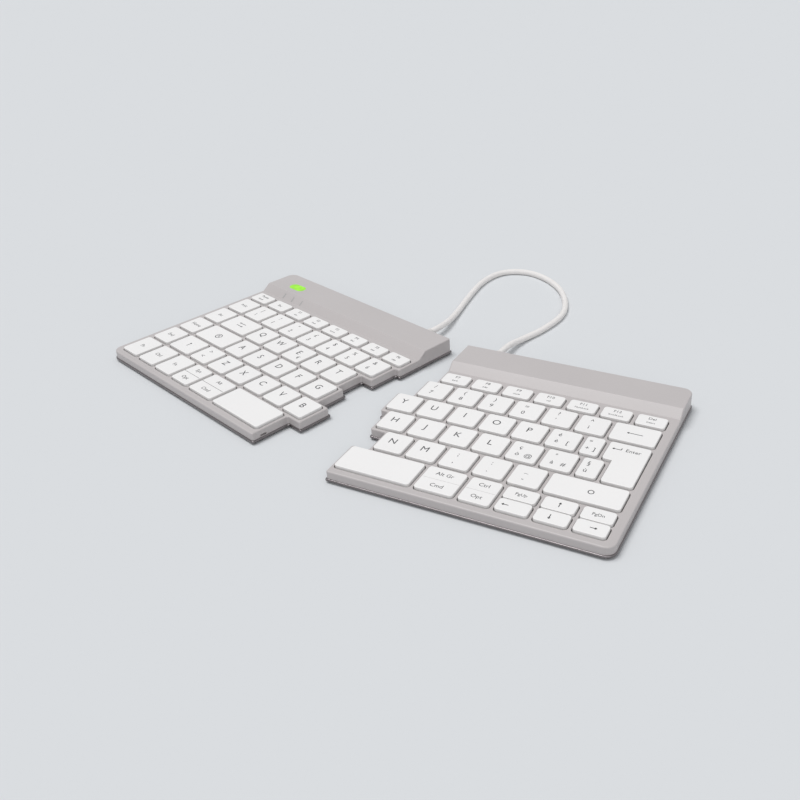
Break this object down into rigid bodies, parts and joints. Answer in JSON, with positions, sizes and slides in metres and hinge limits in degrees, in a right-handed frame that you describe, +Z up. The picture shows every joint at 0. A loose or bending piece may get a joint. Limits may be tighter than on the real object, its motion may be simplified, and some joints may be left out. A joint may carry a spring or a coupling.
{
  "type": "ergonomic split keyboard",
  "caption": "Low ergonomic keyboard split into two flat halves on steel base plates, with flat white keys, a raised rear ridge and a short looped cable between the halves.",
  "frame": {"origin": "centre of both halves' footprint, on the desk", "axes": "+X to the typist's right, +Y to the rear, +Z up"},
  "size_m": [0.3566, 0.2801, 0.0112],
  "materials": {
    "key_white": "matte",
    "case_grey": "matte",
    "dark_steel": "polished",
    "bright_metal": "satin",
    "inner_plastic": "matte",
    "board_green": "satin",
    "black_rubber": "matte",
    "cable_white": "satin",
    "cell_wrap": "satin",
    "green_lens": "gloss",
    "clear_guide": "gloss",
    "switch_black": "matte"
  },
  "bodies": {
    "right_half": {"right_top_case": "case_grey", "right_base_plate": "dark_steel", "right_support_plate": "dark_steel", "right_membrane": "board_green", "right_domes": "black_rubber", "right_scissors": "inner_plastic", "right_circuit_board": "board_green", "right_case_screws": "bright_metal", "right_feet": "black_rubber", "right_cable_sleeve": "cable_white", "connecting_cable": "cable_white"},
    "left_half": {"left_top_case": "case_grey", "left_base_plate": "dark_steel", "left_support_plate": "dark_steel", "left_membrane": "board_green", "left_domes": "black_rubber", "left_scissors": "inner_plastic", "left_circuit_board": "board_green", "left_case_screws": "bright_metal", "left_feet": "black_rubber", "left_cable_sleeve": "cable_white", "left_battery_cell": "cell_wrap", "left_indicator_lens": "green_lens", "left_status_lights": "clear_guide", "left_charging_socket": "bright_metal"},
    "power_switch": {"left_power_switch": "switch_black"},
    "left_alt_key": {"left_alt_key": "key_white"},
    "left_caps_key": {"left_caps_key": "key_white"},
    "left_control_key": {"left_control_key": "key_white"},
    "left_escape_key": {"left_escape_key": "key_white"},
    "left_function_keys": {"left_function_keys": "key_white"},
    "left_home_letter_keys": {"left_home_letter_keys": "key_white"},
    "left_layer_key": {"left_layer_key": "key_white"},
    "left_low_letter_keys": {"left_low_letter_keys": "key_white"},
    "left_number_keys": {"left_number_keys": "key_white"},
    "left_shift_key": {"left_shift_key": "key_white"},
    "left_side_column_keys": {"left_side_column_keys": "key_white"},
    "left_space_key": {"left_space_key": "key_white"},
    "left_system_key": {"left_system_key": "key_white"},
    "left_tab_key": {"left_tab_key": "key_white"},
    "left_top_letter_keys": {"left_top_letter_keys": "key_white"},
    "right_alt_key": {"right_alt_key": "key_white"},
    "right_backspace_key": {"right_backspace_key": "key_white"},
    "right_control_key": {"right_control_key": "key_white"},
    "right_delete_key": {"right_delete_key": "key_white"},
    "right_down_arrow_key": {"right_down_arrow_key": "key_white"},
    "right_enter_key": {"right_enter_key": "key_white"},
    "right_function_keys": {"right_function_keys": "key_white"},
    "right_home_letter_keys": {"right_home_letter_keys": "key_white"},
    "right_left_arrow_key": {"right_left_arrow_key": "key_white"},
    "right_low_letter_keys": {"right_low_letter_keys": "key_white"},
    "right_number_keys": {"right_number_keys": "key_white"},
    "right_page_down_key": {"right_page_down_key": "key_white"},
    "right_page_up_key": {"right_page_up_key": "key_white"},
    "right_right_arrow_key": {"right_right_arrow_key": "key_white"},
    "right_shift_key": {"right_shift_key": "key_white"},
    "right_space_key": {"right_space_key": "key_white"},
    "right_top_letter_keys": {"right_top_letter_keys": "key_white"},
    "right_up_arrow_key": {"right_up_arrow_key": "key_white"}
  },
  "joints": [
    {"name": "split_angle", "type": "hinge", "parent": "right_half", "child": "left_half", "pos_m": [0.00963, 0.06028, 0], "axis": [0, 0, 1], "range_deg": [-12, 16], "deforming": ["connecting_cable"]},
    {"name": "power_switch_slide", "type": "slide", "parent": "left_half", "child": "power_switch", "axis": [0.9881, -0.1538, 0], "range_m": [0, 0.002]},
    {"name": "left_alt_key_press", "type": "slide", "parent": "left_half", "child": "left_alt_key", "axis": [0, 0, -1], "range_m": [0, 0.0013], "stiffness_N_per_m": 200, "springref_m": -0.001, "deforming": ["left_domes", "left_scissors"]},
    {"name": "left_caps_key_press", "type": "slide", "parent": "left_half", "child": "left_caps_key", "axis": [0, 0, -1], "range_m": [0, 0.0013], "stiffness_N_per_m": 200, "springref_m": -0.001, "deforming": ["left_domes", "left_scissors"]},
    {"name": "left_control_key_press", "type": "slide", "parent": "left_half", "child": "left_control_key", "axis": [0, 0, -1], "range_m": [0, 0.0013], "stiffness_N_per_m": 200, "springref_m": -0.001, "deforming": ["left_domes", "left_scissors"]},
    {"name": "left_escape_key_press", "type": "slide", "parent": "left_half", "child": "left_escape_key", "axis": [0, 0, -1], "range_m": [0, 0.0013], "stiffness_N_per_m": 200, "springref_m": -0.001, "deforming": ["left_domes", "left_scissors"]},
    {"name": "left_function_keys_press", "type": "slide", "parent": "left_half", "child": "left_function_keys", "axis": [0, 0, -1], "range_m": [0, 0.0013], "stiffness_N_per_m": 1200, "springref_m": -0.001, "deforming": ["left_domes", "left_scissors"]},
    {"name": "left_home_letter_keys_press", "type": "slide", "parent": "left_half", "child": "left_home_letter_keys", "axis": [0, 0, -1], "range_m": [0, 0.0013], "stiffness_N_per_m": 1000, "springref_m": -0.001, "deforming": ["left_domes", "left_scissors"]},
    {"name": "left_layer_key_press", "type": "slide", "parent": "left_half", "child": "left_layer_key", "axis": [0, 0, -1], "range_m": [0, 0.0013], "stiffness_N_per_m": 200, "springref_m": -0.001, "deforming": ["left_domes", "left_scissors"]},
    {"name": "left_low_letter_keys_press", "type": "slide", "parent": "left_half", "child": "left_low_letter_keys", "axis": [0, 0, -1], "range_m": [0, 0.0013], "stiffness_N_per_m": 1200, "springref_m": -0.001, "deforming": ["left_domes", "left_scissors"]},
    {"name": "left_number_keys_press", "type": "slide", "parent": "left_half", "child": "left_number_keys", "axis": [0, 0, -1], "range_m": [0, 0.0013], "stiffness_N_per_m": 1400, "springref_m": -0.001, "deforming": ["left_domes", "left_scissors"]},
    {"name": "left_shift_key_press", "type": "slide", "parent": "left_half", "child": "left_shift_key", "axis": [0, 0, -1], "range_m": [0, 0.0013], "stiffness_N_per_m": 200, "springref_m": -0.001, "deforming": ["left_domes", "left_scissors"]},
    {"name": "left_side_column_keys_press", "type": "slide", "parent": "left_half", "child": "left_side_column_keys", "axis": [0, 0, -1], "range_m": [0, 0.0013], "stiffness_N_per_m": 1200, "springref_m": -0.001, "deforming": ["left_domes", "left_scissors"]},
    {"name": "left_space_key_press", "type": "slide", "parent": "left_half", "child": "left_space_key", "axis": [0, 0, -1], "range_m": [0, 0.0013], "stiffness_N_per_m": 200, "springref_m": -0.001, "deforming": ["left_domes", "left_scissors"]},
    {"name": "left_system_key_press", "type": "slide", "parent": "left_half", "child": "left_system_key", "axis": [0, 0, -1], "range_m": [0, 0.0013], "stiffness_N_per_m": 200, "springref_m": -0.001, "deforming": ["left_domes", "left_scissors"]},
    {"name": "left_tab_key_press", "type": "slide", "parent": "left_half", "child": "left_tab_key", "axis": [0, 0, -1], "range_m": [0, 0.0013], "stiffness_N_per_m": 200, "springref_m": -0.001, "deforming": ["left_domes", "left_scissors"]},
    {"name": "left_top_letter_keys_press", "type": "slide", "parent": "left_half", "child": "left_top_letter_keys", "axis": [0, 0, -1], "range_m": [0, 0.0013], "stiffness_N_per_m": 1000, "springref_m": -0.001, "deforming": ["left_domes", "left_scissors"]},
    {"name": "right_alt_key_press", "type": "slide", "parent": "right_half", "child": "right_alt_key", "axis": [0, 0, -1], "range_m": [0, 0.0013], "stiffness_N_per_m": 200, "springref_m": -0.001, "deforming": ["right_domes", "right_scissors"]},
    {"name": "right_backspace_key_press", "type": "slide", "parent": "right_half", "child": "right_backspace_key", "axis": [0, 0, -1], "range_m": [0, 0.0013], "stiffness_N_per_m": 200, "springref_m": -0.001, "deforming": ["right_domes", "right_scissors"]},
    {"name": "right_control_key_press", "type": "slide", "parent": "right_half", "child": "right_control_key", "axis": [0, 0, -1], "range_m": [0, 0.0013], "stiffness_N_per_m": 200, "springref_m": -0.001, "deforming": ["right_domes", "right_scissors"]},
    {"name": "right_delete_key_press", "type": "slide", "parent": "right_half", "child": "right_delete_key", "axis": [0, 0, -1], "range_m": [0, 0.0013], "stiffness_N_per_m": 200, "springref_m": -0.001, "deforming": ["right_domes", "right_scissors"]},
    {"name": "right_down_arrow_key_press", "type": "slide", "parent": "right_half", "child": "right_down_arrow_key", "axis": [0, 0, -1], "range_m": [0, 0.0013], "stiffness_N_per_m": 200, "springref_m": -0.001, "deforming": ["right_domes", "right_scissors"]},
    {"name": "right_enter_key_press", "type": "slide", "parent": "right_half", "child": "right_enter_key", "axis": [0, 0, -1], "range_m": [0, 0.0013], "stiffness_N_per_m": 200, "springref_m": -0.001, "deforming": ["right_domes", "right_scissors"]},
    {"name": "right_function_keys_press", "type": "slide", "parent": "right_half", "child": "right_function_keys", "axis": [0, 0, -1], "range_m": [0, 0.0013], "stiffness_N_per_m": 1200, "springref_m": -0.001, "deforming": ["right_domes", "right_scissors"]},
    {"name": "right_home_letter_keys_press", "type": "slide", "parent": "right_half", "child": "right_home_letter_keys", "axis": [0, 0, -1], "range_m": [0, 0.0013], "stiffness_N_per_m": 1400, "springref_m": -0.001, "deforming": ["right_domes", "right_scissors"]},
    {"name": "right_left_arrow_key_press", "type": "slide", "parent": "right_half", "child": "right_left_arrow_key", "axis": [0, 0, -1], "range_m": [0, 0.0013], "stiffness_N_per_m": 200, "springref_m": -0.001, "deforming": ["right_domes", "right_scissors"]},
    {"name": "right_low_letter_keys_press", "type": "slide", "parent": "right_half", "child": "right_low_letter_keys", "axis": [0, 0, -1], "range_m": [0, 0.0013], "stiffness_N_per_m": 1000, "springref_m": -0.001, "deforming": ["right_domes", "right_scissors"]},
    {"name": "right_number_keys_press", "type": "slide", "parent": "right_half", "child": "right_number_keys", "axis": [0, 0, -1], "range_m": [0, 0.0013], "stiffness_N_per_m": 1200, "springref_m": -0.001, "deforming": ["right_domes", "right_scissors"]},
    {"name": "right_page_down_key_press", "type": "slide", "parent": "right_half", "child": "right_page_down_key", "axis": [0, 0, -1], "range_m": [0, 0.0013], "stiffness_N_per_m": 200, "springref_m": -0.001, "deforming": ["right_domes", "right_scissors"]},
    {"name": "right_page_up_key_press", "type": "slide", "parent": "right_half", "child": "right_page_up_key", "axis": [0, 0, -1], "range_m": [0, 0.0013], "stiffness_N_per_m": 200, "springref_m": -0.001, "deforming": ["right_domes", "right_scissors"]},
    {"name": "right_right_arrow_key_press", "type": "slide", "parent": "right_half", "child": "right_right_arrow_key", "axis": [0, 0, -1], "range_m": [0, 0.0013], "stiffness_N_per_m": 200, "springref_m": -0.001, "deforming": ["right_domes", "right_scissors"]},
    {"name": "right_shift_key_press", "type": "slide", "parent": "right_half", "child": "right_shift_key", "axis": [0, 0, -1], "range_m": [0, 0.0013], "stiffness_N_per_m": 200, "springref_m": -0.001, "deforming": ["right_domes", "right_scissors"]},
    {"name": "right_space_key_press", "type": "slide", "parent": "right_half", "child": "right_space_key", "axis": [0, 0, -1], "range_m": [0, 0.0013], "stiffness_N_per_m": 200, "springref_m": -0.001, "deforming": ["right_domes", "right_scissors"]},
    {"name": "right_top_letter_keys_press", "type": "slide", "parent": "right_half", "child": "right_top_letter_keys", "axis": [0, 0, -1], "range_m": [0, 0.0013], "stiffness_N_per_m": 1400, "springref_m": -0.001, "deforming": ["right_domes", "right_scissors"]},
    {"name": "right_up_arrow_key_press", "type": "slide", "parent": "right_half", "child": "right_up_arrow_key", "axis": [0, 0, -1], "range_m": [0, 0.0013], "stiffness_N_per_m": 200, "springref_m": -0.001, "deforming": ["right_domes", "right_scissors"]}
  ]
}
